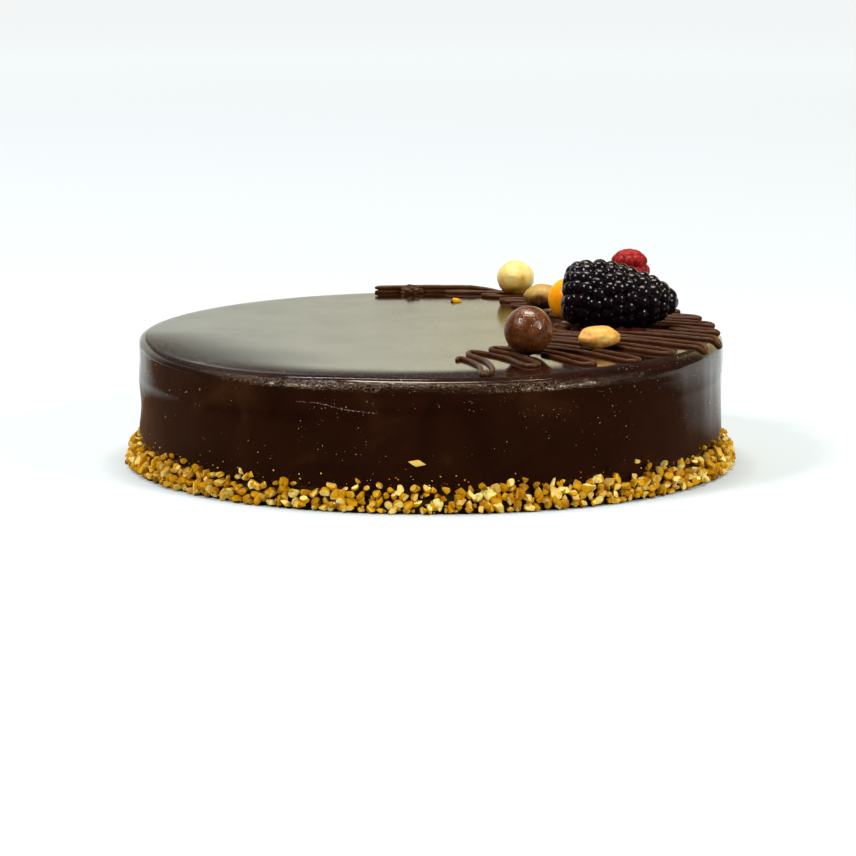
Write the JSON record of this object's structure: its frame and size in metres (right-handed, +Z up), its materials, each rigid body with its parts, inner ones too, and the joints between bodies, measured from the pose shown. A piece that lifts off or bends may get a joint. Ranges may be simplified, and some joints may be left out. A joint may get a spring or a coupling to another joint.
{
  "type": "chocolate cake",
  "caption": "Round glazed chocolate cake with chopped nuts round its foot, a piped zigzag and berries, nuts and a chocolate ball on top.",
  "frame": {"origin": "centre of the cake's flat base, on the surface it stands on", "axes": "+Z up, -Y towards the side that shows best, +X towards the side with the piped zigzag and the toppings"},
  "size_m": [0.211, 0.211, 0.0689],
  "materials": {
    "glaze": "glossy dark chocolate glaze, with piped chocolate and golden chopped nuts",
    "milk_chocolate": "satin milk chocolate with a slightly rough skin",
    "nut": "blanched toasted hazelnut, satin",
    "orange_skin": "smooth waxy orange berry skin",
    "dark_skin": "glossy black-purple drupelets",
    "red_skin": "soft velvety red drupelets"
  },
  "bodies": {
    "root": {"glazed_cake": "glaze", "choc_ball": "milk_chocolate", "hazelnut_back": "nut", "hazelnut_mid": "nut", "hazelnut_front": "nut", "orange_berry": "orange_skin", "dark_berry": "dark_skin", "red_berry": "red_skin"}
  },
  "joints": []
}
